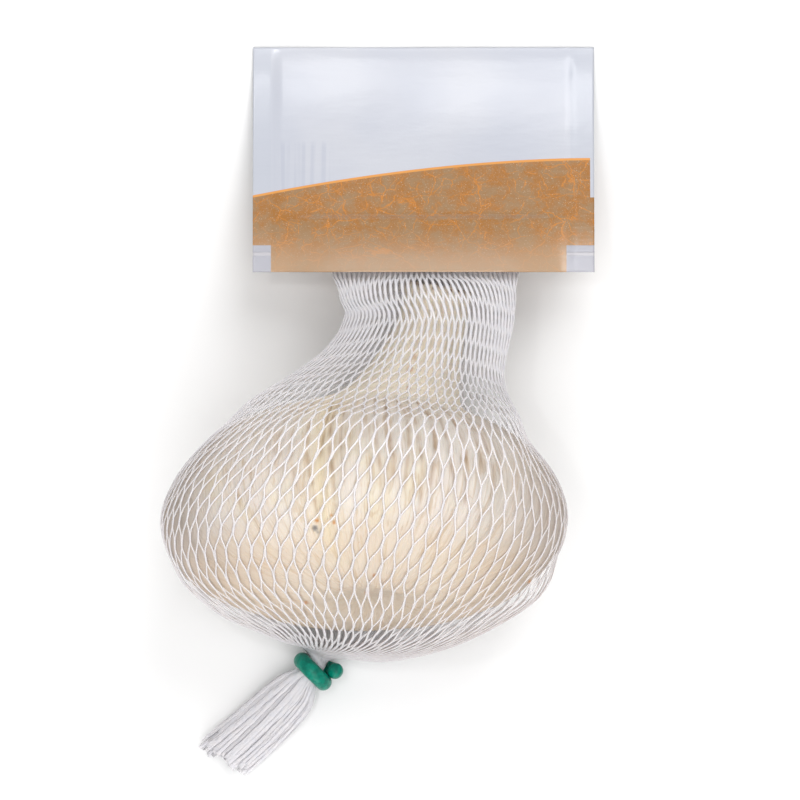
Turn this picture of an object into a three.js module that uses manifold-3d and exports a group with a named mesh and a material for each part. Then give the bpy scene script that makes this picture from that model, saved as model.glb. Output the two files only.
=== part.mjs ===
// A garlic bulb lying on its side in its net bag, with the clip that closes the bag
// and the folded film header that closes its other end.
// Millimetres, +Z up, +Y towards the header. The origin is the centre of the footprint, on the surface below.
import * as THREE from "three";
import { mergeVertices } from "three/addons/utils/BufferGeometryUtils.js";
import Module from "manifold-3d";

// The bulb. Its own axis runs from the root to the stem, and the stem end lies lower than the root.
const BULB_CENTRE = new THREE.Vector3(-2.65, -18.5, 31.2);
const BULB_TILT = THREE.MathUtils.degToRad(20);
const BULB_FLATTENING = 0.93;
// Points up the side of the bulb: height along its axis, radius, and how far the middle leans towards +X.
const BULB_SIDE = [
  [-12.6, 0, 1.2],
  [-13.3, 4.2, 1.2],
  [-15.6, 7.6, 1.2],
  [-16.0, 12, 0.8],
  [-14.6, 19.6, 0.4],
  [-12.2, 26, 0],
  [-9.1, 30.8, 0],
  [-5.2, 33.5, 0],
  [0, 34.5, 0],
  [5.2, 32.9, 0.1],
  [9.3, 30.1, 0.2],
  [13, 25.6, 0.3],
  [16, 19.8, 1],
  [18.6, 14.6, 3.2],
  [21.8, 10.8, 6],
  [26.4, 8.2, 8.4],
  [32, 6.6, 10.6],
  [37.4, 5.6, 12.4],
  [41.6, 5.4, 13],
];
const CLOVES = 6;
const CLOVE_GROOVE = 1.5;
const FIRST_GROOVE = THREE.MathUtils.degToRad(103);
const STEM_CUT_SLANT = 0.22;

// The net bag: its rings from the end inside the header to the cut tail.
// Each ring has its left end and right end in plan, its lowest and highest point, and its shape:
// 1 for an ellipse, below 1 for a fuller one, 2 for a lozenge.
const NET_WALL = 0.5;
const NET_RINGS = [
  { left: [-8.4, 35], right: [25, 35], low: 10.8, high: 12, shape: 1 },
  { left: [-8.2, 29.5], right: [24.8, 29.5], low: 12.9, high: 15.9, shape: 1 },
  { left: [-8, 24], right: [24.6, 24], low: 13.9, high: 21.2, shape: 1.3 },
  { left: [-7.4, 22.6], right: [24.2, 22.4], low: 13.4, high: 23.6, shape: 1.4 },
  { left: [-6.6, 19.5], right: [24, 19], low: 11.1, high: 25.4, shape: 1.45 },
  { left: [-6, 16], right: [23.6, 15], low: 11.9, high: 27.4, shape: 1.5 },
  { left: [-10.6, 9.6], right: [22, 5.6], low: 12.8, high: 36.6, shape: 1.3 },
  { left: [-24.8, 0], right: [24.8, -1.4], low: 12.6, high: 59.4, shape: 0.98 },
  { left: [-33.8, -8.3], right: [29.9, -9.4], low: 7.2, high: 63.4, shape: 0.94 },
  { left: [-37.6, -16], right: [32.4, -16.4], low: 1.2, high: 62.6, shape: 0.94 },
  { left: [-37.7, -23], right: [32.6, -23], low: -1.2, high: 58.2, shape: 0.95 },
  { left: [-35, -30.2], right: [29.6, -30.7], low: -0.6, high: 48.6, shape: 1 },
  { left: [-28.4, -35.4], right: [25.3, -36.6], low: 0.8, high: 38, shape: 1 },
  { left: [-20.8, -38.8], right: [13.4, -41.2], low: 1.6, high: 26, shape: 1 },
  { left: [-16.2, -40.7], right: [2, -43.9], low: 2.4, high: 14, shape: 1 },
  { left: [-13.6, -41.2], right: [-7.9, -43.4], low: 2.9, high: 6.6, shape: 1 },
  { left: [-12, -43], right: [-9.6, -45.2], low: 3.1, high: 5.4, shape: 1 },
  { left: [-12.2, -45.1], right: [-10.8, -46.5], low: 3.2, high: 5.2, shape: 1 },
  { left: [-14.6, -45.8], right: [-11.5, -48.9], low: 2.7, high: 4.9, shape: 1 },
  { left: [-18.6, -48], right: [-12.8, -52.9], low: 1.4, high: 3.7, shape: 1 },
  { left: [-25, -53.6], right: [-18.2, -58.8], low: 0.3, high: 2.5, shape: 1 },
  { left: [-31.8, -59.4], right: [-24, -64], low: 0, high: 2.2, shape: 1 },
];
const NET_STEPS = 2;
const NET_SIDES = 28;

// The clip: a bent rod wrapped a little over once around the gathered net.
const CLIP_CENTRE = new THREE.Vector3(-11.5, -45.8, 4.2);
const CLIP_HEADING = THREE.MathUtils.degToRad(225);
const CLIP_ROD = 1.3;
const CLIP_BEND = 2.8;
const CLIP_OVERLAP = 2.9;
const CLIP_START = THREE.MathUtils.degToRad(38);
const CLIP_SWEEP = THREE.MathUtils.degToRad(-436);
const CLIP_STEPS = 32;

// The header: a film folded at its far edge and sealed down both sides, with its mouth towards the bulb.
const HEADER_LEFT = -22;
const HEADER_RIGHT = 37.9;
const HEADER_MOUTH = 24.3;
const HEADER_FOLD = 64;
const HEADER_MOUTH_HEIGHT = 16.3;
const HEADER_FILM = 0.3;
const HEADER_SEAL = 4.6;
const HEADER_POCKET = 1.2;
const HEADER_SLACK = 0.15;
const HEADER_POCKET_DEPTH = 14;
const HEADER_FRONT_FLARE = 4.4;
const HEADER_BACK_FLARE = 1.8;
const HEADER_FLARE_DEPTH = 10;
const HEADER_COLUMNS = 14;
const HEADER_ROWS = 14;

const GAP = 0.3;
const BULB_RINGS = 26;
const BULB_SIDES = 36;

const wasm = await Module();
wasm.setup();

function material(colour, roughness, opacity = 1) {
  return new THREE.MeshStandardMaterial({
    color: colour,
    roughness,
    metalness: 0,
    opacity,
    transparent: opacity < 1,
  });
}

function geometryOf(points, faces) {
  const geometry = new THREE.BufferGeometry().setFromPoints(points);
  geometry.setIndex(faces);
  geometry.computeVertexNormals();
  return geometry;
}

function solidOf(geometry) {
  const bare = geometry.clone();
  bare.deleteAttribute("normal");
  bare.deleteAttribute("uv");
  const merged = mergeVertices(bare, 1e-4);
  return new wasm.Manifold(
    new wasm.Mesh({
      numProp: 3,
      vertProperties: merged.attributes.position.array,
      triVerts: new Uint32Array(merged.index.array),
    }),
  );
}

function geometryOfSolid(solid) {
  const mesh = solid.getMesh();
  const geometry = new THREE.BufferGeometry();
  geometry.setAttribute("position", new THREE.BufferAttribute(mesh.vertProperties, 3));
  geometry.setIndex(new THREE.BufferAttribute(mesh.triVerts, 1));
  geometry.computeVertexNormals();
  return geometry;
}

// Joins rings of equal length side by side. A looped list closes on itself; an open one gets two caps.
function loft(rings, looped) {
  const count = rings[0].length;
  const points = rings.flat();
  const faces = [];
  const strips = looped ? rings.length : rings.length - 1;
  for (let i = 0; i < strips; i++) {
    const here = i * count;
    const next = ((i + 1) % rings.length) * count;
    for (let j = 0; j < count; j++) {
      const k = (j + 1) % count;
      faces.push(here + j, here + k, next + k, here + j, next + k, next + j);
    }
  }
  if (!looped) {
    const ends = [
      { ring: rings[0], first: 0, flip: false },
      { ring: rings.at(-1), first: (rings.length - 1) * count, flip: true },
    ];
    for (const { ring, first, flip } of ends) {
      const middle = points.length;
      points.push(ring.reduce((sum, p) => sum.add(p), new THREE.Vector3()).divideScalar(count));
      for (let j = 0; j < count; j++) {
        const k = (j + 1) % count;
        faces.push(...(flip ? [first + j, first + k, middle] : [first + k, first + j, middle]));
      }
    }
  }
  return geometryOf(points, faces);
}

// Catmull-Rom through equally spaced numbers.
function through(values, at) {
  const i = Math.min(Math.floor(at), values.length - 2);
  const t = at - i;
  const [a, b, c, d] = [i - 1, i, i + 1, i + 2].map(
    (k) => values[THREE.MathUtils.clamp(k, 0, values.length - 1)],
  );
  return b + 0.5 * t * (c - a + t * (2 * a - 5 * b + 4 * c - d + t * (3 * (b - c) + d - a)));
}

// 1 in the groove between two cloves, 0 on the middle of a clove.
function groove(angle) {
  return (1 - Math.abs(Math.sin((CLOVES * (angle - FIRST_GROOVE)) / 2))) ** 2;
}

function bulbPoint(along, angle) {
  const [height, radius, lean] = [0, 1, 2].map((k) => through(BULB_SIDE.map((p) => p[k]), along));
  const swell = THREE.MathUtils.smoothstep(radius, 14, 30);
  const r = radius - CLOVE_GROOVE * swell * groove(angle);
  const across = r * Math.cos(angle);
  const up = r * Math.sin(angle) * BULB_FLATTENING;
  const slant = STEM_CUT_SLANT * across * THREE.MathUtils.smoothstep(height, 36, 42);
  const point = new THREE.Vector3(lean + across, height - slant, up);
  point.applyAxisAngle(new THREE.Vector3(1, 0, 0), -BULB_TILT).add(BULB_CENTRE);
  point.z = Math.max(point.z, NET_WALL + GAP);
  return point;
}

function garlicBulb() {
  const rings = [];
  for (let i = 1; i <= BULB_RINGS; i++) {
    const along = (i / BULB_RINGS) * (BULB_SIDE.length - 1);
    rings.push(
      Array.from({ length: BULB_SIDES }, (_, j) => bulbPoint(along, (-2 * Math.PI * j) / BULB_SIDES)),
    );
  }
  return new THREE.Mesh(loft(rings, false), material("#e8dcc6", 0.7));
}

// One section of the net, drawn in by inset from its outer face.
function netRing(at, inset) {
  const value = (pick) => through(NET_RINGS.map(pick), at);
  const left = new THREE.Vector2(value((r) => r.left[0]), value((r) => r.left[1]));
  const right = new THREE.Vector2(value((r) => r.right[0]), value((r) => r.right[1]));
  const low = value((r) => r.low);
  const high = value((r) => r.high);
  const shape = value((r) => r.shape);
  const middle = left.clone().add(right).multiplyScalar(0.5);
  const across = right.clone().sub(left).normalize();
  const halfWidth = left.distanceTo(right) / 2;
  const halfHeight = (high - low) / 2;
  const shrink = Math.min(inset, halfHeight / 2);
  const rounded = (c) => Math.sign(c) * Math.abs(c) ** shape;
  return Array.from({ length: NET_SIDES }, (_, j) => {
    const angle = (2 * Math.PI * j) / NET_SIDES;
    const x = (halfWidth - shrink) * rounded(Math.cos(angle));
    const z = (halfHeight - shrink) * rounded(Math.sin(angle));
    return new THREE.Vector3(
      middle.x + across.x * x,
      middle.y + across.y * x,
      Math.max((low + high) / 2 + z, shrink),
    );
  });
}

function netBag() {
  const places = stations(0, NET_RINGS.length - 1, (NET_RINGS.length - 1) * NET_STEPS);
  const outer = places.map((at) => netRing(at, 0));
  const inner = places.toReversed().map((at) => netRing(at, NET_WALL));
  return new THREE.Mesh(loft([...outer, ...inner], true), material("#f4f4f2", 0.4, 0.5));
}

class ClipPath extends THREE.Curve {
  getPoint(t, target = new THREE.Vector3()) {
    const angle = CLIP_START + CLIP_SWEEP * t;
    const ahead = CLIP_OVERLAP * (1 - THREE.MathUtils.smoothstep(-angle, 0, Math.PI));
    const side = new THREE.Vector3(-Math.sin(CLIP_HEADING), Math.cos(CLIP_HEADING), 0);
    const heading = new THREE.Vector3(Math.cos(CLIP_HEADING), Math.sin(CLIP_HEADING), 0);
    return target
      .copy(CLIP_CENTRE)
      .addScaledVector(side, CLIP_BEND * Math.cos(angle))
      .addScaledVector(heading, -ahead)
      .add(new THREE.Vector3(0, 0, CLIP_BEND * Math.sin(angle)));
  }
}

function netClip() {
  const path = new ClipPath();
  const section = new THREE.Shape().absarc(0, 0, CLIP_ROD, 0, 2 * Math.PI);
  const rod = new THREE.ExtrudeGeometry(section, {
    steps: CLIP_STEPS,
    curveSegments: 4,
    extrudePath: path,
    bevelEnabled: false,
  });
  let solid = solidOf(rod);
  for (const t of [0, 1]) {
    const end = new THREE.SphereGeometry(CLIP_ROD * 0.98, 10, 8);
    end.translate(...path.getPoint(t).toArray());
    solid = solid.add(solidOf(end));
  }
  return new THREE.Mesh(geometryOfSolid(solid), material("#00785f", 0.3));
}

// How high the middle of the header lies: it comes off the stem end and runs down to the surface.
function headerHeight(y) {
  const t = THREE.MathUtils.clamp((y - HEADER_MOUTH) / (HEADER_FOLD - HEADER_MOUTH), 0, 1);
  const rest = HEADER_FILM + HEADER_SLACK;
  return rest + (HEADER_MOUTH_HEIGHT - rest) * (1 - t) ** 2 * (1 + 1.1 * t);
}

// The room from the middle of the header to one film: open around the net, flared at the mouth,
// almost shut elsewhere.
function headerRoom(x, y, side) {
  const fromSeal = Math.min(x - HEADER_LEFT, HEADER_RIGHT - x) - HEADER_SEAL;
  const sideways = THREE.MathUtils.smoothstep(fromSeal, 0, 7);
  const depth = y - HEADER_MOUTH;
  const inwards = 1 - THREE.MathUtils.smoothstep(depth, HEADER_POCKET_DEPTH - 2, HEADER_POCKET_DEPTH + 8);
  const nearMouth = 1 - THREE.MathUtils.clamp(depth / HEADER_FLARE_DEPTH, 0, 1);
  const flare = (side > 0 ? HEADER_FRONT_FLARE : HEADER_BACK_FLARE) * nearMouth ** 2;
  return HEADER_SLACK + sideways * ((HEADER_POCKET - HEADER_SLACK) * inwards + flare);
}

function stations(from, to, count) {
  return Array.from({ length: count + 1 }, (_, i) => from + ((to - from) * i) / count);
}

// A closed body between two heights over a grid.
function slab(xs, ys, halfThickness) {
  const points = [];
  const faces = [];
  const width = xs.length;
  const side = width * ys.length;
  for (const sign of [1, -1]) {
    for (const y of ys) {
      for (const x of xs) {
        points.push(new THREE.Vector3(x, y, headerHeight(y) + sign * halfThickness(x, y, sign)));
      }
    }
  }
  const quad = (a, b, c, d) => faces.push(a, b, c, a, c, d);
  for (let j = 0; j < ys.length - 1; j++) {
    for (let i = 0; i < width - 1; i++) {
      const a = j * width + i;
      quad(a, a + 1, a + 1 + width, a + width);
      quad(side + a, side + a + width, side + a + 1 + width, side + a + 1);
    }
  }
  for (let i = 0; i < width - 1; i++) {
    const far = (ys.length - 1) * width + i;
    quad(i, side + i, side + i + 1, i + 1);
    quad(far, far + 1, side + far + 1, side + far);
  }
  for (let j = 0; j < ys.length - 1; j++) {
    const left = j * width;
    const right = left + width - 1;
    quad(left, left + width, side + left + width, side + left);
    quad(right, side + right, side + right + width, right + width);
  }
  return geometryOf(points, faces);
}

function headerLabel() {
  const film = (x, y, side) => HEADER_FILM + headerRoom(x, y, side);
  const betweenSeals = stations(HEADER_LEFT + HEADER_SEAL, HEADER_RIGHT - HEADER_SEAL, HEADER_COLUMNS);
  const belowFold = stations(HEADER_MOUTH, HEADER_FOLD - 1, HEADER_ROWS);
  const outside = slab([HEADER_LEFT, ...betweenSeals, HEADER_RIGHT], [...belowFold, HEADER_FOLD], film);
  const pocket = slab(betweenSeals, [HEADER_MOUTH - 1, ...belowFold], headerRoom);
  const solid = solidOf(outside).subtract(solidOf(pocket));
  return new THREE.Mesh(geometryOfSolid(solid), material("#dcd6cc", 0.35));
}

const garlic = new THREE.Group();
for (const [name, mesh] of Object.entries({
  garlic_bulb: garlicBulb(),
  net_bag: netBag(),
  net_clip: netClip(),
  header_label: headerLabel(),
})) {
  mesh.name = name;
  garlic.add(mesh);
}

export default garlic;
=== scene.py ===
import math

import bpy
import numpy as np
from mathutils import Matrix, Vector
from mathutils.bvhtree import BVHTree


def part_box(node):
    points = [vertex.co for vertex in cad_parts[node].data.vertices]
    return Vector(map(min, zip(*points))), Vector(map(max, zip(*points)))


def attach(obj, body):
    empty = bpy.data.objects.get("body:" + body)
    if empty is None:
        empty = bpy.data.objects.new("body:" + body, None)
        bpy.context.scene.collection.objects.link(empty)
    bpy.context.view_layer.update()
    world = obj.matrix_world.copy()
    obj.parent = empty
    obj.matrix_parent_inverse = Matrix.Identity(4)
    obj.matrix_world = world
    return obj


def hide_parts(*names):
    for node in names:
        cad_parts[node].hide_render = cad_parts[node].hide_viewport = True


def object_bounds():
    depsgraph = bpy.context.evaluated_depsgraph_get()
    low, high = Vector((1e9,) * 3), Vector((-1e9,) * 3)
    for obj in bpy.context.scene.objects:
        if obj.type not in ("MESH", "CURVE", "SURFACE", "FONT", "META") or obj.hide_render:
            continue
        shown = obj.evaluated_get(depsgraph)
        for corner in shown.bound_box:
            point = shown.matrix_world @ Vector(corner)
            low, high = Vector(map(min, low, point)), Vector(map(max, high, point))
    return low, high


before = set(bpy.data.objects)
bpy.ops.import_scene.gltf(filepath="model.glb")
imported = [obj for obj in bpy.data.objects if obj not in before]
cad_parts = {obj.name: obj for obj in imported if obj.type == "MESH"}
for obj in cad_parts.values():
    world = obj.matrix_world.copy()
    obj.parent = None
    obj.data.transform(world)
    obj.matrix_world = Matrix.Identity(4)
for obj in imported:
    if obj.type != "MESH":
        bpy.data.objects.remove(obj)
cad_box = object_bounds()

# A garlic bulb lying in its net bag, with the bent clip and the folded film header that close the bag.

MM = 0.001
SEED = 7

# The part's own shape, in millimetres, as it was constructed.
BULB_TILT = math.radians(20)
BULB_FLATTENING = 0.93
BULB_LOWEST = 0.8
BULB_STEM_REACH = 41.13
BULB_TOP = 30.86
# Height along the bulb's axis, radius, and lean of the middle towards +X.
BULB_SIDE = [
    (-14.4, 0, 1.2),
    (-14.8, 4.2, 1.2),
    (-15.8, 7.6, 1.2),
    (-16.0, 12, 0.8),
    (-14.6, 19.6, 0.4),
    (-12.2, 26, 0),
    (-9.1, 30.8, 0),
    (-5.2, 33.5, 0),
    (0, 34.5, 0),
    (5.2, 32.9, 0.1),
    (9.3, 30.1, 0.2),
    (13, 25.6, 0.3),
    (16, 19.8, 1),
    (18.6, 14.6, 3.2),
    (21.8, 10.8, 6),
    (26.4, 8.2, 8.4),
    (32, 6.6, 10.6),
    (37.4, 5.6, 12.4),
    (43, 5.4, 13.4),
]
# Creases in the outer skin: where round the bulb, sway, width, from and to along the axis, and strength.
CREASES = [
    (1.74, 0.015, 0.012, -10, 16, 0.9),
    (1.80, -0.012, 0.011, -2, 18, 1),
    (1.86, 0.02, 0.010, -12, 13, 0.8),
    (1.68, 0.012, 0.010, -6, 17, 0.7),
    (1.94, 0.02, 0.010, -8, 15, 0.6),
    (2.04, -0.01, 0.010, 0, 17, 0.5),
    (1.56, 0.01, 0.009, 2, 18, 0.5),
    (1.49, 0.015, 0.010, -10, 18, 0.8),
    (1.42, 0.02, 0.013, -6, 19, 1),
    (1.34, -0.012, 0.011, -8, 17, 0.9),
    (1.27, 0.014, 0.011, -12, 15, 0.8),
    (1.20, -0.015, 0.013, -7, 18, 1),
    (1.11, 0.012, 0.011, -5, 17, 0.9),
    (1.02, 0.015, 0.013, -9, 17, 1),
    (0.93, -0.012, 0.012, -4, 17, 0.8),
    (0.84, 0.02, 0.012, -8, 16, 0.8),
]
CLOVES = 6
CLOVE_GROOVE = 1.5
FIRST_GROOVE = math.radians(103)
STEM_CUT_SLANT = 0.22
BULB_COLUMNS = 384
BULB_ROWS = 230
STEM_FACE_ROWS = 16
CREASE_DEPTH = 0.4
# Soft round marks, each as x, y, radius and strength. They lie above this height only.
MARKS_ABOVE = 12
BRUISES = [(-10.9, -20.3, 0.75, 0.8), (-10.4, -21, 0.5, 0.5)]
SPOTS = [
    (-10.6, -19, 0.5, 1),
    (-8.1, -18, 0.35, 0.8),
    (-7.6, -19.3, 0.45, 0.9),
    (-1.9, -31.7, 0.6, 1),
    (-12.5, -33.4, 0.5, 0.8),
    (-0.7, -28.6, 0.4, 0.8),
    (26.5, -29.8, 0.5, 0.9),
    (5.3, 4, 0.5, 0.9),
    (5.6, 7.3, 0.9, 0.5),
    (6.3, 9.4, 0.7, 0.4),
    (5.4, 19.4, 0.3, 0.9),
    (15.1, 17.6, 0.4, 0.8),
]
STEM_SCARS_AT = (5.2, 6.5, 7.3, 9.8, 12.6, 13.7, 14.8)

# Left end and right end in plan, lowest and highest point, and shape of each ring of the net,
# from the end inside the header to the cut tail.
NET_RINGS = [
    (-8.4, 35, 25, 35, 10.8, 12, 1),
    (-8.2, 29.5, 24.8, 29.5, 12.9, 15.9, 1),
    (-8, 24, 24.6, 24, 13.9, 21.2, 1.3),
    (-7.4, 22.6, 24.2, 22.4, 13.4, 23.6, 1.4),
    (-6.6, 19.5, 24, 19, 11.1, 25.4, 1.45),
    (-6, 16, 23.6, 15, 11.9, 27.4, 1.5),
    (-10.6, 9.6, 22, 5.6, 12.8, 36.6, 1.3),
    (-24.8, 0, 24.8, -1.4, 12.6, 59.4, 0.98),
    (-33.8, -8.3, 29.9, -9.4, 7.2, 63.4, 0.94),
    (-37.6, -16, 32.4, -16.4, 1.2, 62.6, 0.94),
    (-37.7, -23, 32.6, -23, -1.2, 58.2, 0.95),
    (-35, -30.2, 29.6, -30.7, -0.6, 48.6, 1),
    (-28.4, -35.4, 24.3, -35.6, 0.8, 38, 1),
    (-20.8, -38.8, 13.4, -41.2, 1.6, 26, 1),
    (-16.2, -40.7, 2, -43.9, 2.4, 14, 1),
    (-13.6, -41.2, -7.9, -43.4, 2.9, 6.6, 1),
    (-12, -43, -9.6, -45.2, 3.1, 5.4, 1),
    (-12.2, -45.1, -10.8, -46.5, 3.2, 5.2, 1),
    (-14.6, -45.8, -11.5, -48.9, 2.7, 4.9, 1),
    (-18.6, -48, -12.8, -52.9, 1.4, 3.7, 1),
    (-25, -53.6, -18.2, -58.8, 0.3, 2.5, 1),
    (-31.8, -59.4, -24, -64, 0, 2.2, 1),
]
NET_CLEARANCE = 0.32
STRANDS = 74
CELL = 4.2
TAIL_START = 17.2
STRAND_WIDTH = 0.38
STRAND_THICKNESS = 0.22
STRAND_CORNERS = 6
STRAND_POINTS_PER_CELL = 5
STRAND_FLOOR_GAP = 0.03
NET_STATIONS = 500
NET_RING_POINTS = 721
# How far apart the rows of the net's surface are, in cells.
NET_ROW_STEP = 0.1

CLIP_HEADING = math.radians(225)
CLIP_ROD = 1.38
CLIP_CORNER = 3.26
CLIP_HEIGHT = 4.0
CLIP_BEND = 2.8
CLIP_OVERLAP = 2.9
CLIP_START = math.radians(38)
CLIP_SWEEP = math.radians(-436)
CLIP_STEPS = 120
CLIP_CORNERS = 24

HEADER_MOUTH_HEIGHT = 16.3
HEADER_END_HEIGHT = 0.45
HEADER_SEAL = 4.6
HEADER_FILM = 0.06
HEADER_FRONT_FLARE = 4.4
HEADER_BACK_FLARE = 1.8
HEADER_FLARE_DEPTH = 10
HEADER_COLUMNS = 180
HEADER_ROWS = 120
HEADER_FLOOR_GAP = 0.02
NET_START = 0.28
NET_END = 33.5

VIEW_WIDTH = 0.140
VIEW_HEIGHT = 0.02
VIEW_DISTANCE = 4
VIEW_OFFSET = Vector((0.0039, 0.0019, 0))
SENSOR = 36
FLOOR_HALF = 3000
WORLD_STRENGTH = 0.55
# Each lamp: its place from the middle of the part, in metres, its size and its power.
LAMPS = [
    ("key", (0.2, 0.5, 0.7), 0.45, 3.1),
    ("top", (0, -0.3, 1.05), 1.0, 6.9),
    ("spark", (-0.2, 0.15, 1.0), 0.05, 0.7),
    ("front", (-0.1, -1.0, 0.4), 0.6, 4.1),
]

random_source = np.random.default_rng(SEED)


def smoothstep(x, low, high):
    t = np.clip((np.asarray(x, float) - low) / (high - low), 0, 1)
    return t * t * (3 - 2 * t)


def through(table, at):
    """Catmull-Rom through the rows of a table, at row numbers that may be fractions."""
    table = np.asarray(table, float)
    at = np.clip(np.asarray(at, float), 0, len(table) - 1)
    row = np.minimum(at.astype(int), len(table) - 2)
    t = (at - row)[..., None]
    a, b, c, d = (table[np.clip(row + k, 0, len(table) - 1)] for k in (-1, 0, 1, 2))
    return b + 0.5 * t * (c - a + t * (2 * a - 5 * b + 4 * c - d + t * (3 * (b - c) + d - a)))


def waves(x, y, count, fx, fy, source):
    """Smooth random hills, about -1 to 1, over x (periodic where fx is whole) and y."""
    total = np.zeros(np.broadcast(x, y).shape)
    for _ in range(count):
        kx = source.integers(-fx, fx + 1)
        ky = source.uniform(-fy, fy)
        total += np.cos(kx * x + ky * y + source.uniform(0, 2 * math.pi))
    return total / math.sqrt(count / 2) / 1.6


def grid_faces(rows, columns, first=0, closed_rows=False, closed_columns=True):
    """Quads over a grid of vertices, numbered along each row."""
    i = np.arange(rows if closed_rows else rows - 1)[:, None]
    j = np.arange(columns if closed_columns else columns - 1)[None, :]
    k = (j + 1) % columns
    below = ((i + 1) % rows) * columns
    here = i * columns
    quads = np.stack([here + j, here + k, below + k, below + j], axis=-1)
    return quads.reshape(-1, 4) + first


def add_object(name, points, faces, material, millimetres=True):
    mesh = bpy.data.meshes.new(name)
    points = np.asarray(points, float).reshape(-1, 3) * (MM if millimetres else 1)
    faces = faces.tolist() if isinstance(faces, np.ndarray) else faces
    mesh.from_pydata(points.tolist(), [], faces)
    mesh.validate()
    mesh.polygons.foreach_set("use_smooth", [True] * len(mesh.polygons))
    mesh.materials.append(material)
    made = bpy.data.objects.new(name, mesh)
    bpy.context.scene.collection.objects.link(made)
    return made


def add_attribute(made, name, kind, values):
    attribute = made.data.attributes.new(name, kind, "POINT")
    field = "vector" if kind == "FLOAT_VECTOR" else "value"
    attribute.data.foreach_set(field, np.asarray(values, float).ravel())


class Shader:
    """A short way to write a node material."""

    def __init__(self, name, **settings):
        self.material = bpy.data.materials.new(name)
        self.material.use_nodes = True
        self.tree = self.material.node_tree
        self.surface = self.tree.nodes["Principled BSDF"]
        for socket, value in settings.items():
            self.surface.inputs[socket.replace("_", " ")].default_value = value

    def node(self, kind, inputs=(), **properties):
        made = self.tree.nodes.new(kind)
        for name, value in properties.items():
            setattr(made, name, value)
        for socket, value in dict(inputs).items():
            self.join(made.inputs[socket], value)
        return made

    def join(self, socket, value):
        if isinstance(value, bpy.types.NodeSocket):
            self.tree.links.new(value, socket)
        else:
            socket.default_value = value

    def attribute(self, name, output="Fac"):
        return self.node("ShaderNodeAttribute", attribute_name=name).outputs[output]

    def position(self):
        """The object's own coordinates, in millimetres."""
        place = self.node("ShaderNodeTexCoord").outputs["Object"]
        scale = {0: place, 3: 1 / MM}
        return self.node("ShaderNodeVectorMath", scale, operation="SCALE").outputs[0]

    def parts(self, vector):
        return self.node("ShaderNodeSeparateXYZ", {0: vector}).outputs

    def noise(self, vector, scale, detail=3, roughness=0.5, distortion=0):
        inputs = {"Vector": vector, "Scale": scale, "Detail": detail}
        inputs |= {"Roughness": roughness, "Distortion": distortion}
        return self.node("ShaderNodeTexNoise", inputs).outputs["Fac"]

    def ramp(self, value, low, high, to_low=0, to_high=1):
        inputs = {"Value": value, "From Min": low, "From Max": high, "To Min": to_low, "To Max": to_high}
        made = self.node("ShaderNodeMapRange", inputs, interpolation_type="SMOOTHSTEP")
        return made.outputs["Result"]

    def maths(self, operation, *values):
        return self.node("ShaderNodeMath", dict(enumerate(values)), operation=operation).outputs[0]

    def stretch(self, vector, scale):
        return self.node("ShaderNodeVectorMath", {0: vector, 1: scale}, operation="MULTIPLY").outputs[0]

    def mix(self, factor, first, second, blend="MIX"):
        made = self.node("ShaderNodeMix", data_type="RGBA", blend_type=blend, clamp_factor=True)
        for socket, value in zip((0, 6, 7), (factor, first, second)):
            self.join(made.inputs[socket], value)
        return made.outputs[2]

    def bump(self, height, distance, strength=1, normal=None):
        inputs = {"Height": height, "Distance": distance, "Strength": strength}
        if normal is not None:
            inputs["Normal"] = normal
        return self.node("ShaderNodeBump", inputs).outputs[0]

    def finish(self, **links):
        for socket, value in links.items():
            self.join(self.surface.inputs[socket.replace("_", " ")], value)
        return self.material


def srgb(*display):
    """A colour given in 0 to 255 display values, as the linear values that nodes take."""
    shares = (v / 255 for v in display)
    return tuple(v / 12.92 if v < 0.0404 else ((v + 0.055) / 1.055) ** 2.4 for v in shares) + (1,)


# ---------------------------------------------------------------- the bulb


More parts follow.
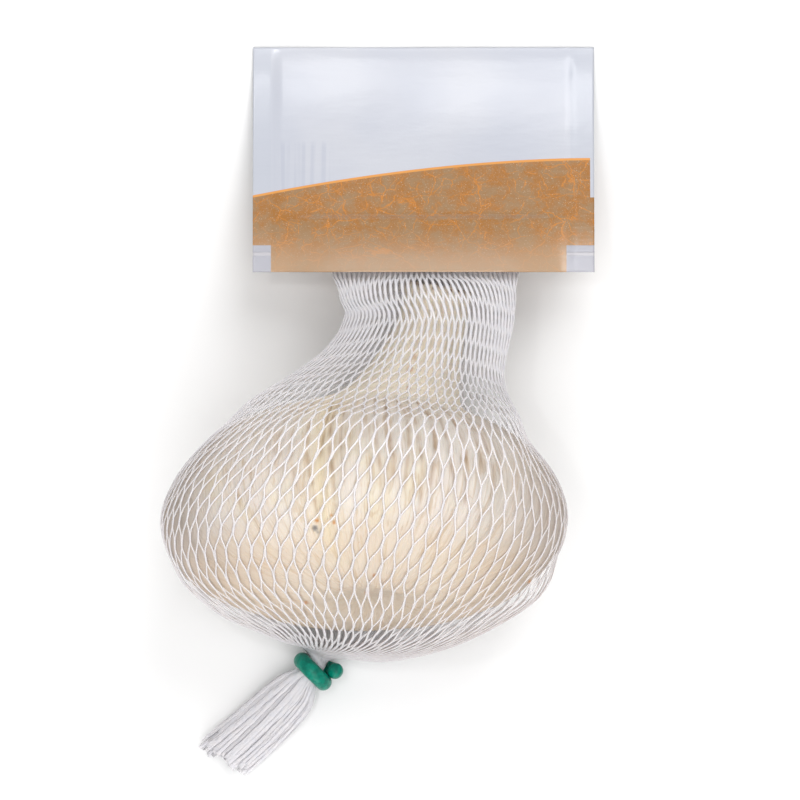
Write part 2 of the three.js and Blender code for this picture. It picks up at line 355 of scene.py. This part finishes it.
def skin_material():
    s = Shader("garlic_skin", Roughness=0.55, Subsurface_Weight=0.12, Subsurface_Scale=0.002, IOR=1.4)
    s.surface.inputs["Subsurface Radius"].default_value = (1, 0.6, 0.35)
    skin = s.attribute("skin", "Vector")
    place = s.position()
    blotch = s.noise(place, 0.07, 3, 0.6)
    colour = s.mix(s.ramp(blotch, 0.35, 0.65), srgb(213, 206, 197), srgb(206, 196, 187))
    yellow = s.noise(s.stretch(skin, (1, 1, 0.35)), 0.9, 3)
    colour = s.mix(s.ramp(yellow, 0.55, 0.8, 0, 0.5), colour, srgb(208, 194, 158))
    veins = s.noise(s.stretch(skin, (6, 6, 0.3)), 1.6, 3, 0.6)
    colour = s.mix(s.ramp(veins, 0.5, 0.7, 0, 0.55), colour, srgb(186, 166, 142))
    pleats = s.noise(s.stretch(skin, (2.4, 2.4, 0.4)), 1.6, 3, 0.6, 0.6)
    colour = s.mix(s.ramp(pleats, 0.54, 0.64, 0, 0.42), colour, srgb(172, 146, 112))
    fine = s.noise(s.stretch(skin, (16, 16, 0.5)), 1.5, 2)
    colour = s.mix(s.ramp(fine, 0.5, 0.8, 0, 0.3), colour, srgb(225, 218, 207))
    # Towards the stem the skin turns paler cream: partly its own colour, partly painted light that offsets
    # the shade of the net and header over it.
    colour = s.mix(s.maths("MULTIPLY", s.attribute("stem"), 0.85), colour, srgb(246, 234, 214))
    # Painted shade: the flanks of the bulb that face sideways are darkened towards brown-grey, where the
    # light falls off.
    colour = s.mix(s.attribute("side"), colour, srgb(176, 163, 152))
    colour = s.mix(s.attribute("hollow"), colour, srgb(217, 199, 158))
    colour = s.mix(s.attribute("root"), colour, srgb(205, 178, 144))
    # The creases are darkened brown: partly the skin's own colour in them, partly painted shade in the fold.
    colour = s.mix(s.attribute("crease_tint_and_painted_shade"), colour, srgb(150, 114, 74))
    colour = s.mix(s.attribute("cut"), colour, srgb(199, 176, 134))
    rust = s.ramp(s.noise(place, 0.55, 4, 0.7), 0.70, 0.74, 0, 0.75)
    colour = s.mix(rust, colour, srgb(176, 114, 51))
    colour = s.mix(s.attribute("bruise"), colour, srgb(80, 80, 86))
    colour = s.mix(s.attribute("scar"), colour, srgb(104, 64, 36))
    colour = s.mix(s.attribute("spot"), colour, srgb(185, 118, 42))
    relief = s.bump(s.maths("SUBTRACT", veins, pleats), 0.0005, 0.5)
    relief = s.bump(fine, 0.0002, 0.5, relief)
    relief = s.bump(s.noise(place, 1.6, 4, 0.6), 0.0002, 0.35, relief)
    rough = s.ramp(fine, 0.3, 0.7, 0.62, 0.46)
    return s.finish(Base_Color=colour, Normal=relief, Roughness=rough)


def bulb_origin():
    """The middle of the bulb's widest section, in millimetres, from the box of its node."""
    low, high = (Vector(v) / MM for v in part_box("garlic_bulb"))
    return np.array(((low.x + high.x) / 2, high.y - BULB_STEM_REACH, high.z - BULB_TOP))


def groove(angle):
    """How far into the furrow between two cloves an angle lies, as 0 to 1."""
    return (1 - np.abs(np.sin(CLOVES * (angle - FIRST_GROOVE) / 2))) ** 2


def bulb_relief(along, angle, radius, height):
    """Folds, ribs and wrinkles of the papery skins, as a rise along the radius."""
    body = smoothstep(radius, 9, 26)
    stem = smoothstep(height, 17, 27)
    ribs = waves(angle, along * 0.7, 18, 52, 1.2, random_source) * (0.11 * body + 0.07 * stem)
    broad = waves(angle, along * 0.8, 8, 5, 0.7, random_source) * 0.2 * body + 0.15 * body
    broad = broad + 0.5 * np.cos(angle) ** 2 * body
    pleats = waves(angle, along * 0.4, 10, 15, 0.8, random_source) * 0.34 * stem
    arcs = np.sin(height * 3.4 + 0.7 * np.sin(angle * 2)) * 0.16
    arcs = arcs * smoothstep(height, 16.5, 18.5) * (1 - smoothstep(height, 21.5, 24))
    return ribs + broad + pleats + arcs


def bulb_fold(angle, height, middle, sway, width, low, high):
    """A narrow crease that runs from low to high along the axis, as 0 to 1."""
    track = middle + sway * np.sin(height * 0.22)
    line = np.exp(-(((angle - track) / width) ** 2))
    broken = 0.6 + 0.4 * np.sin(height * 1.3 + middle * 40) * np.sin(height * 0.47 + middle * 90)
    return line * broken * smoothstep(height, low, low + 5) * (1 - smoothstep(height, high - 5, high))


def garlic_bulb():
    around = BULB_COLUMNS
    last = len(BULB_SIDE) - 1
    side = np.linspace(0.04, last, BULB_ROWS)
    face = np.linspace(0, 0.985, STEM_FACE_ROWS)[1:]
    along = np.concatenate([side, np.full(face.size, float(last))])[:, None]
    shrink = np.concatenate([np.ones(side.size), 1 - face])[:, None]
    even = (2 * math.pi * np.arange(around) / around)[None, :]
    angle = even + 0.6 * np.cos(even)
    height, radius, lean = (v[..., 0] for v in np.split(through(BULB_SIDE, along), 3, axis=-1))
    rise = bulb_relief(along, angle, radius, height)
    folds = 0
    for middle, sway, width, low, high, strength in CREASES:
        folds = folds + strength * bulb_fold(angle, height, middle, sway, width, low, high)
    swell = smoothstep(radius, 14, 30)
    reach = radius + rise - CLOVE_GROOVE * swell * groove(angle) - CREASE_DEPTH * folds
    across = shrink * reach * np.cos(angle)
    up = shrink * reach * np.sin(angle) * BULB_FLATTENING
    layers = 0.5 - 0.5 * np.cos((1 - shrink) * 5 * math.pi * 2)
    sink = (1 - shrink) * 0.5 + layers * 0.45 * smoothstep(1 - shrink, 0, 0.1)
    tear = waves(angle, along * 0, 12, 20, 0.1, random_source) * 0.35 * (1 - smoothstep(1 - shrink, 0, 0.3))
    edge = smoothstep(height, 39, 41.6)
    slant = STEM_CUT_SLANT * across * smoothstep(height, 36, 42)
    axial = height - slant - sink + tear * edge - up * math.tan(BULB_TILT) * edge
    spin = (math.cos(BULB_TILT), math.sin(BULB_TILT))
    points = np.stack(
        [lean + across, axial * spin[0] + up * spin[1], up * spin[0] - axial * spin[1]], axis=-1
    )
    points += bulb_origin()
    points[..., 2] = np.maximum(points[..., 2], BULB_LOWEST)
    rows = along.size
    faces = [tuple(f) for f in grid_faces(rows, around)[:, ::-1]]
    faces.append(tuple(range(around)))
    faces.append(tuple((rows - 1) * around + j for j in reversed(range(around))))
    made = add_object("bulb_skin", points, faces, skin_material())
    skin = np.stack(
        np.broadcast_arrays(np.cos(angle) * 5, np.sin(angle) * 5, along * 1.1), axis=-1
    )
    on_face = np.broadcast_to(smoothstep(1 - shrink, 0, 0.05), rise.shape)
    hollow = np.broadcast_to(groove(angle) ** 2 * swell * smoothstep(np.sin(angle), 0.8, 0.95), rise.shape)
    rim = np.broadcast_to(smoothstep(height, 42.4, 43) * (1 - smoothstep(1 - shrink, 0, 0.12)), rise.shape)
    add_attribute(made, "skin", "FLOAT_VECTOR", skin)
    # Mask of the creases: the skin's brown colour there and painted shade in the fold.
    add_attribute(made, "crease_tint_and_painted_shade", "FLOAT", np.clip(folds * 0.75, 0, 1))
    add_attribute(made, "hollow", "FLOAT", 0.6 * hollow)
    add_attribute(made, "root", "FLOAT", np.broadcast_to(0.4 * smoothstep(-height, 7, 14), rise.shape))
    # Painted shade: darker towards the flanks that face sideways, where the light falls off.
    add_attribute(made, "side", "FLOAT", 0.95 * smoothstep(np.abs(np.cos(angle)), 0.6, 1) * swell)
    add_attribute(made, "cut", "FLOAT", on_face * (0.5 + 0.5 * layers))
    # Paler towards the stem: the stem's own colour, strengthened with painted light against the shade over
    # it.
    add_attribute(made, "stem", "FLOAT", np.broadcast_to(smoothstep(height, 8, 20), rise.shape))
    add_attribute(made, "bruise", "FLOAT", marks(points, BRUISES))
    add_attribute(made, "spot", "FLOAT", marks(points, SPOTS))
    scars = [(x, 22.6 - 0.21 * (x - 4.8), 0.6, 1) for x in STEM_SCARS_AT]
    scar = np.maximum(marks(points, scars), 0.45 * rim * (points[..., 2] > MARKS_ABOVE))
    add_attribute(made, "scar", "FLOAT", scar)
    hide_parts("garlic_bulb")
    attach(made, "root")
    return made


def marks(points, places):
    """Soft round marks on the upper side, each as x, y, radius and strength."""
    total = np.zeros(points.shape[:-1])
    for x, y, radius, strength in places:
        distance = np.hypot(points[..., 0] - x, points[..., 1] - y)
        total = np.maximum(total, strength * (1 - smoothstep(distance, radius * 0.3, radius)))
    return total * (points[..., 2] > MARKS_ABOVE)


# ---------------------------------------------------------------- the net


def net_material():
    s = Shader("net_strand", Roughness=0.25, IOR=1.5, Alpha=0.46)
    cloud = s.noise(s.position(), 1.2, 3)
    colour = s.mix(s.ramp(cloud, 0.35, 0.65), srgb(245, 242, 244), srgb(239, 238, 243))
    # Painted shadow: one side of each strand over the bulb is tinted brown, standing in for the thin shadow
    # line the strand casts beside it.
    colour = s.mix(s.attribute("edge"), colour, srgb(176, 152, 132))
    return s.finish(Base_Color=colour, Normal=s.bump(s.noise(s.position(), 6, 2), 0.0001, 0.4))


def net_surface(bulb):
    """The bag as a grid of points, with a row for each share of a cell and two columns for each strand.

    It gives the rows, in cells, the points, and how far along the bag each lies, in rings.
    """
    stations = np.linspace(NET_START, len(NET_RINGS) - 1, NET_STATIONS)
    left_x, left_y, right_x, right_y, low, high, shape = through(NET_RINGS, stations).T
    middle = np.stack([(left_x + right_x) / 2, (left_y + right_y) / 2], axis=1)
    half = np.stack([(right_x - left_x) / 2, (right_y - left_y) / 2], axis=1)
    width = np.linalg.norm(half, axis=1)
    unit = half / width[:, None]
    angle = np.linspace(0, 2 * math.pi, NET_RING_POINTS)
    cosine, sine = np.cos(angle), np.sin(angle)
    x = width[:, None] * np.sign(cosine) * np.abs(cosine) ** shape[:, None]
    z = ((high - low) / 2)[:, None] * np.sign(sine) * np.abs(sine) ** shape[:, None]
    rings = np.stack(
        [
            middle[:, 0:1] + unit[:, 0:1] * x,
            middle[:, 1:2] + unit[:, 1:2] * x,
            np.maximum(((high + low) / 2)[:, None] + z, 0),
        ],
        axis=-1,
    )
    columns = STRANDS * 2
    twist = 0.048 * smoothstep(stations, 6.3, 12.5) + 0.022 * (1 - smoothstep(stations, 2, 6.5))
    neck = smoothstep(stations, 1.5, 4) * (1 - smoothstep(stations, 5.5, 7.5))
    grid = np.empty((stations.size, columns, 3))
    for i in range(stations.size):
        step = np.linalg.norm(np.diff(rings[i], axis=0), axis=1)
        centre = (sine[1:] + sine[:-1]) / 2
        step = step / (1 + neck[i] * (0.7 * np.abs(centre) ** 3 - 0.2))
        fraction = np.concatenate([[0], np.cumsum(step)]) / step.sum()
        wanted = (np.arange(columns) / columns + twist[i]) % 1
        for axis in range(3):
            grid[i, :, axis] = np.interp(wanted, fraction, rings[i][:, axis])
    grid = hug(grid, bulb)
    pitch = np.linalg.norm(np.diff(rings, axis=1), axis=2).sum(axis=1) / STRANDS
    tall = np.sqrt(CELL**2 - np.minimum(pitch / 2, 2) ** 2)
    stretched = 0.25 * smoothstep(stations, 6.5, 8.5) + 0.65 * smoothstep(stations, 9.2, 10.8)
    tall = tall * (1 + stretched * (1 - smoothstep(stations, 14.5, 15.5)))
    steps = np.linalg.norm(np.diff(grid, axis=0), axis=2) / ((tall[1:] + tall[:-1]) / 2)[:, None]
    cells = np.concatenate([np.zeros((1, columns)), np.cumsum(steps, axis=0)])
    rows = np.arange(0, cells.max(), NET_ROW_STEP)
    surface = np.empty((rows.size, columns, 3))
    station = np.empty((rows.size, columns))
    for k in range(columns):
        station[:, k] = np.interp(rows, cells[:, k], stations)
        for axis in range(3):
            surface[:, k, axis] = np.interp(rows, cells[:, k], grid[:, k, axis])
    return rows, surface, station


def hug(grid, bulb):
    """Lays the net on the bulb: drawn down where it comes near, and pushed off the skin.

    Both fade out along the stem, so strands can enter the skin at the stem's end.
    """
    mesh = bulb.data
    points = np.empty(len(mesh.vertices) * 3)
    mesh.vertices.foreach_get("co", points)
    tree = BVHTree.FromPolygons(
        (points.reshape(-1, 3) / MM).tolist(), [tuple(p.vertices) for p in mesh.polygons]
    )
    pull = np.zeros(grid.shape)
    for i in range(grid.shape[0]):
        for k in range(grid.shape[1]):
            point = Vector(grid[i, k])
            nearest, normal, _, _ = tree.find_nearest(point, 5)
            if nearest is None:
                continue
            height = (point - nearest).dot(normal)
            wanted = NET_CLEARANCE + max(height - NET_CLEARANCE, 0) * float(smoothstep(height, 0.7, 3))
            pull[i, k] = np.array(normal) * (wanted - height) * float(1 - smoothstep(point.y, 13, 19))
    for _ in range(2):
        pull = (np.roll(pull, 1, 1) + 2 * pull + np.roll(pull, -1, 1)) / 4
        pull[1:-1] = (pull[:-2] + 2 * pull[1:-1] + pull[2:]) / 4
    moved = grid + pull
    moved[..., 2] = np.maximum(moved[..., 2], STRAND_THICKNESS)
    return moved


def sample(field, rows, row, column):
    """The field at fractional rows and columns, where the columns go all round."""
    r = np.clip(row / (rows[1] - rows[0]), 0, field.shape[0] - 1.001)
    c = column % field.shape[1]
    r0, c0 = r.astype(int), c.astype(int)
    fr, fc = (r - r0)[..., None], (c - c0)[..., None]
    c1 = (c0 + 1) % field.shape[1]
    c0 = c0 % field.shape[1]
    top = field[r0, c0] * (1 - fc) + field[r0, c1] * fc
    bottom = field[r0 + 1, c0] * (1 - fc) + field[r0 + 1, c1] * fc
    return top * (1 - fr) + bottom * fr


def unit_rows(vectors):
    return vectors / np.maximum(np.linalg.norm(vectors, axis=-1, keepdims=True), 1e-9)


def net_family(name, side, rows, surface, station, material):
    """Every strand that winds round one way: side is 1 or -1."""
    corners = STRAND_CORNERS
    row = np.arange(0, rows[-1], 1 / STRAND_POINTS_PER_CELL)
    swing = row - 0.15 * np.sin(2 * math.pi * row)
    turn = np.arange(corners) * 2 * math.pi / corners
    points = []
    painted_shadow_lines = []
    faces = []
    count = 0
    end = len(NET_RINGS) - 1
    for strand in range(STRANDS):
        wander = 0.05 * waves(row * 0.5, row * 0, 3, 2, 0.1, random_source)
        column = 2 * (strand + side * swing / 2 + wander)
        at = sample(station[..., None], rows, row, column)[:, 0]
        loose = smoothstep(at, TAIL_START, TAIL_START + 1.5)
        column = column + loose * random_source.normal(0, 1.0)
        cut = end - 0.12 - abs(random_source.normal(0, 0.07))
        used = max(int(np.searchsorted(at, cut)), 2)
        r, c = row[:used], column[:used]
        path = sample(surface, rows, r, c)
        beside = sample(surface, rows, r, c + 0.5) - sample(surface, rows, r, c - 0.5)
        ahead = unit_rows(np.gradient(path, axis=0))
        normal = unit_rows(np.cross(ahead, beside))
        across = unit_rows(np.cross(normal, ahead))
        joint = np.cos(math.pi * r) ** 8
        gathered = smoothstep(at[:used], 12, 14) + 0.8 * (1 - smoothstep(at[:used], 4.5, 7.5))
        half_width = STRAND_WIDTH / 2 * (1 + 0.35 * joint) * (1 + 0.35 * gathered + 0.5 * loose[:used])
        half_thick = STRAND_THICKNESS / 2 * (1 + 0.25 * joint)
        lift = side * 0.05 * (1 - joint) + (loose * random_source.uniform(-0.6, 0.2))[:used]
        ring = (
            (path + normal * lift[:, None])[:, None]
            + across[:, None] * (half_width[:, None] * np.cos(turn))[..., None]
            + normal[:, None] * (half_thick[:, None] * np.sin(turn))[..., None]
        )
        ring[..., 2] = np.maximum(ring[..., 2], STRAND_FLOOR_GAP)
        points.append(ring.reshape(-1, 3))
        # Painted shadow: where the strands lie over the bulb, one side of each is marked for a brown tint.
        over_bulb = smoothstep(at[:used], 6.5, 8.5) * (1 - smoothstep(at[:used], 14, 16))
        painted_shadow_lines.append((over_bulb[:, None] * np.maximum(np.cos(turn), 0) ** 4).ravel())
        faces += grid_faces(used, corners, count).tolist()
        faces.append([count + j for j in reversed(range(corners))])
        faces.append([count + (used - 1) * corners + j for j in range(corners)])
        count += used * corners
    made = add_object(name, np.concatenate(points), faces, material)
    # The edge attribute holds the painted shadow on one side of each strand.
    add_attribute(made, "edge", "FLOAT", 0.75 * np.concatenate(painted_shadow_lines))
    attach(made, "root")
    return made


def net_bag(bulb):
    rows, surface, station = net_surface(bulb)
    material = net_material()
    first = net_family("net_strands_left", 1, rows, surface, station, material)
    net_family("net_strands_right", -1, rows, surface, station, material)
    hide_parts("net_bag")


# ---------------------------------------------------------------- the clip


def clip_material():
    s = Shader("clip_plastic", Roughness=0.35, Specular_IOR_Level=0.1, Coat_Weight=0.22, Coat_Roughness=0.04)
    streak = s.noise(s.position(), 0.9, 3, 0.6)
    colour = s.mix(s.ramp(streak, 0.35, 0.65), srgb(0, 103, 86), srgb(0, 129, 107))
    return s.finish(Base_Color=colour, Normal=s.bump(s.noise(s.position(), 2.2, 3), 0.0004, 0.5))


def net_clip():
    low = Vector(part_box("net_clip")[0]) / MM
    centre = low + Vector((CLIP_CORNER, CLIP_CORNER, CLIP_HEIGHT))
    steps = CLIP_STEPS
    corners = CLIP_CORNERS
    t = np.linspace(0, 1, steps)
    angle = CLIP_START + CLIP_SWEEP * t
    ahead = CLIP_OVERLAP * (1 - smoothstep(-angle, 0, math.pi))
    heading = np.array((math.cos(CLIP_HEADING), math.sin(CLIP_HEADING), 0))
    beside = np.array((-heading[1], heading[0], 0))
    upward = np.array((0, 0, 1.0))
    path = (
        np.array(centre)
        + beside * (CLIP_BEND * np.cos(angle))[:, None]
        - heading * ahead[:, None]
        + upward * (CLIP_BEND * np.sin(angle))[:, None]
    )
    tangent = unit_rows(np.gradient(path, axis=0))
    outward = beside * np.cos(angle)[:, None] + upward * np.sin(angle)[:, None]
    outward = unit_rows(outward - tangent * (outward * tangent).sum(axis=1)[:, None])
    third = np.cross(tangent, outward)
    length = np.linalg.norm(path[1] - path[0]) * np.arange(steps)
    from_end = np.minimum(length, length[::-1])
    radius = CLIP_ROD * np.sqrt(np.clip(1 - (1 - np.minimum(from_end / 0.9, 1)) ** 2, 0.02, 1))
    turn = np.arange(corners) * 2 * math.pi / corners
    lumps = 1 + 0.025 * waves(turn[None, :], t[:, None] * 30, 6, 2, 1, random_source)
    reach = radius[:, None] * lumps
    points = (
        path[:, None]
        + outward[:, None] * (reach * np.cos(turn))[..., None] * 0.94
        + third[:, None] * (reach * np.sin(turn))[..., None] * 1.04
    )
    faces = grid_faces(steps, corners).tolist()
    faces.append(tuple(reversed(range(corners))))
    faces.append(tuple((steps - 1) * corners + j for j in range(corners)))
    made = add_object("clip_rod", points, faces, clip_material())
    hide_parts("net_clip")
    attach(made, "root")


# ---------------------------------------------------------------- the header


def bare_film(s, place, band, from_left, from_mouth):
    """The colour of the film where nothing is printed on it."""
    white = s.mix(s.ramp(s.noise(place, 0.05, 2), 0.35, 0.65), srgb(192, 194, 202), srgb(186, 189, 199))
    white = s.mix(s.maths("MULTIPLY", band, 0.55), white, srgb(182, 186, 196))
    bars = s.noise(s.stretch(place, (1.1, 0.02, 0)), 1.0, 1)
    patch = s.maths("MULTIPLY", s.ramp(from_left, 3.6, 4.2), s.ramp(from_left, 14.5, 12.5))
    patch = s.maths("MULTIPLY", patch, s.ramp(from_mouth, 23.5, 22))
    streaks = s.maths("MULTIPLY", s.ramp(bars, 0.45, 0.6, 0, 0.45), patch)
    return s.mix(streaks, white, srgb(172, 176, 190))


def printed_film(s, place, from_mouth):
    """The colour of the print: brown, crossed by fibres."""
    warp = s.node("ShaderNodeTexNoise", {"Vector": place, "Scale": 0.4, "Detail": 3}).outputs["Color"]
    push = {0: warp, 1: (2.4, 2.4, 0), 2: place}
    warped = s.node("ShaderNodeVectorMath", push, operation="MULTIPLY_ADD").outputs[0]
    tan = s.mix(s.ramp(s.noise(place, 0.3, 5, 0.7), 0.38, 0.62), srgb(150, 118, 82), srgb(160, 106, 46))
    tan = s.mix(s.ramp(s.noise(place, 3.2, 3, 0.7), 0.45, 0.75, 0, 0.5), tan, srgb(158, 126, 94))
    for scale, width, strength in ((0.17, 0.017, 0.8), (0.26, 0.022, 0.7), (0.42, 0.028, 0.5)):
        web = {"Vector": warped, "Scale": scale}
        edge = s.node("ShaderNodeTexVoronoi", web, feature="DISTANCE_TO_EDGE").outputs["Distance"]
        some = s.ramp(s.noise(place, 0.15 + scale / 2, 1), 0.44, 0.52)
        fibre = s.maths("MULTIPLY", s.ramp(edge, width, width / 3, 0, strength), some)
        tan = s.mix(fibre, tan, srgb(196, 125, 48))
    sparkle = s.ramp(s.noise(place, 4.5, 1), 0.64, 0.72, 0, 0.6)
    tan = s.mix(sparkle, tan, srgb(196, 170, 142))
    return s.mix(s.ramp(from_mouth, 9, 0, 0, 0.75), tan, srgb(187, 158, 130))


def film_material(low, high):
    s = Shader("header_film", Roughness=0.26, IOR=1.5, Coat_Weight=0.25, Coat_Roughness=0.12)
    place = s.position()
    x, y, _ = s.parts(place)
    from_left = s.maths("SUBTRACT", x, low.x)
    from_right = s.maths("SUBTRACT", high.x, x)
    from_mouth = s.maths("SUBTRACT", y, low.y)
    band = s.maths("MAXIMUM", s.ramp(from_left, 3.2, 3.1), s.ramp(from_right, 4.2, 4.1))
    white = bare_film(s, place, band, from_left, from_mouth)
    tan = printed_film(s, place, from_mouth)
    rest = s.maths("SUBTRACT", 1.0, s.maths("DIVIDE", from_left, high.x - low.x - 0.7))
    curve = s.maths("POWER", s.maths("MAXIMUM", rest, 0.0), 1.8)
    edge = s.maths("SUBTRACT", 20.1, s.maths("MULTIPLY", curve, 6.6))
    below = s.maths("SUBTRACT", edge, from_mouth)
    margin = s.maths("MULTIPLY", s.ramp(from_right, 0.72, 0.68), s.ramp(from_mouth, 13.1, 13.2))
    printed = s.maths("MULTIPLY", s.ramp(below, -0.05, 0.05), s.maths("SUBTRACT", 1.0, margin))
    stripe = s.ramp(s.maths("ABSOLUTE", s.maths("SUBTRACT", below, 0.2)), 0.26, 0.16)
    tan = s.mix(stripe, tan, srgb(216, 148, 76))
    corner = s.maths("MAXIMUM", s.ramp(from_left, 3.25, 3.15), s.ramp(from_right, 4.95, 4.85))
    corner = s.maths("MULTIPLY", corner, s.ramp(from_mouth, 4.75, 4.65))
    weld = s.ramp(s.maths("ABSOLUTE", s.maths("SUBTRACT", from_mouth, 3.2)), 0.4, 0.2)
    colour = s.mix(printed, white, tan)
    clear = s.mix(s.maths("MULTIPLY", weld, 0.6), srgb(194, 194, 203), srgb(220, 216, 220))
    colour = s.mix(corner, colour, clear)
    ripple = s.noise(s.stretch(place, (0.5, 1.4, 1)), 0.35, 2)
    seam = s.maths("MULTIPLY", s.maths("SINE", s.maths("MULTIPLY", y, 9.0)), band)
    relief = s.bump(ripple, 0.001, 0.07)
    relief = s.bump(seam, 0.00002, 0.06, relief)
    relief = s.bump(s.maths("MULTIPLY", weld, corner), 0.0003, 0.5, relief)
    alpha = s.maths("SUBTRACT", 1.0, s.maths("MULTIPLY", corner, 0.4))
    return s.finish(Base_Color=colour, Normal=relief, Alpha=alpha)


def header_label():
    low, high = (Vector(v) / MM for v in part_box("header_label"))
    columns = HEADER_COLUMNS
    rows = HEADER_ROWS
    x = np.linspace(low.x, high.x, columns)[:, None]
    y_front = np.linspace(low.y, high.y - 0.1, rows)
    y = np.concatenate([y_front, y_front[::-1]])[None, :]
    side = np.concatenate([np.ones(rows), -np.ones(rows)])[None, :]
    share = np.clip((y - low.y) / (high.y - low.y), 0, 1)
    rest = HEADER_END_HEIGHT
    middle = rest + (HEADER_MOUTH_HEIGHT - rest) * (1 - share) ** 2 * (1 + 1.1 * share)
    from_side = np.minimum(x - low.x, high.x - x)
    sideways = smoothstep(from_side, HEADER_SEAL, HEADER_SEAL + 7)
    near_mouth = np.clip(1 - (y - low.y) / HEADER_FLARE_DEPTH, 0, 1) ** 2
    flare = np.where(side > 0, HEADER_FRONT_FLARE, HEADER_BACK_FLARE) * near_mouth
    over_net = 0.95 * (1 - smoothstep(y, NET_END, NET_END + 1.1))
    pillow = 0.25 * smoothstep(high.y - y, 0, 5)
    between = smoothstep(from_side, HEADER_SEAL - 1.5, HEADER_SEAL + 0.5)
    arch = smoothstep(from_side, HEADER_SEAL, HEADER_SEAL + 13)
    room = HEADER_FILM * 0.6 + pillow * between + sideways * over_net + arch * flare
    sag = 0.10 * waves(x * 0.12, y * 0.35, 8, 3, 1, random_source) * between
    outer = middle + side * room + sag
    inner = middle + side * (room - HEADER_FILM) + sag
    outside = np.stack(np.broadcast_arrays(x, y, outer), axis=-1)
    within = np.stack(np.broadcast_arrays(x, y, inner), axis=-1)[:, ::-1]
    loop = np.concatenate([outside, within], axis=1)
    loop[..., 2] = np.maximum(loop[..., 2], HEADER_FLOOR_GAP)
    size = loop.shape[1]
    faces = grid_faces(columns, size)[:, ::-1].tolist()
    for column, flip in ((0, True), (columns - 1, False)):
        first = column * size
        for j in range(rows * 2 - 1):
            quad = [first + j, first + j + 1, first + size - 2 - j, first + size - 1 - j]
            faces.append(quad[::-1] if flip else quad)
    made = add_object("header_film_sheet", loop, faces, film_material(low, high))
    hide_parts("header_label")
    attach(made, "root")


# ---------------------------------------------------------------- floor, light and camera


def floor():
    s = Shader("floor_paper", Roughness=0.9)
    grain = s.noise(s.position(), 0.05, 2)
    s.finish(Base_Color=s.mix(grain, srgb(233, 233, 233), srgb(235, 235, 235)))
    half = FLOOR_HALF
    corners = [(-half, -half, 0), (half, -half, 0), (half, half, 0), (-half, half, 0)]
    add_object("floor", corners, [(0, 1, 2, 3)], s.material)


def area_light(name, place, target, size, power):
    lamp = bpy.data.lights.new(name, "AREA")
    lamp.energy = power
    lamp.size = size
    made = bpy.data.objects.new(name, lamp)
    made.location = place
    made.rotation_euler = (Vector(target) - Vector(place)).to_track_quat("-Z", "Y").to_euler()
    bpy.context.scene.collection.objects.link(made)


def light_and_camera():
    low, high = (Vector(v) for v in cad_box)
    centre = (low + high) / 2
    world = bpy.data.worlds.new("studio")
    world.use_nodes = True
    world.node_tree.nodes["Background"].inputs["Color"].default_value = (1, 1, 1, 1)
    world.node_tree.nodes["Background"].inputs["Strength"].default_value = WORLD_STRENGTH
    bpy.context.scene.world = world
    for name, offset, size, power in LAMPS:
        area_light(name, centre + Vector(offset), centre, size, power)
    bpy.context.scene.view_settings.view_transform = "Standard"
    camera = bpy.data.cameras.new("camera")
    camera.sensor_width = SENSOR
    camera.lens = SENSOR * VIEW_DISTANCE / VIEW_WIDTH
    camera.clip_end = 10
    made = bpy.data.objects.new("camera", camera)
    made.location = Vector((centre.x, centre.y, VIEW_HEIGHT + VIEW_DISTANCE)) + VIEW_OFFSET
    bpy.context.scene.collection.objects.link(made)
    bpy.context.scene.camera = made


light_and_camera()
floor()
net_bag(garlic_bulb())
net_clip()
header_label()
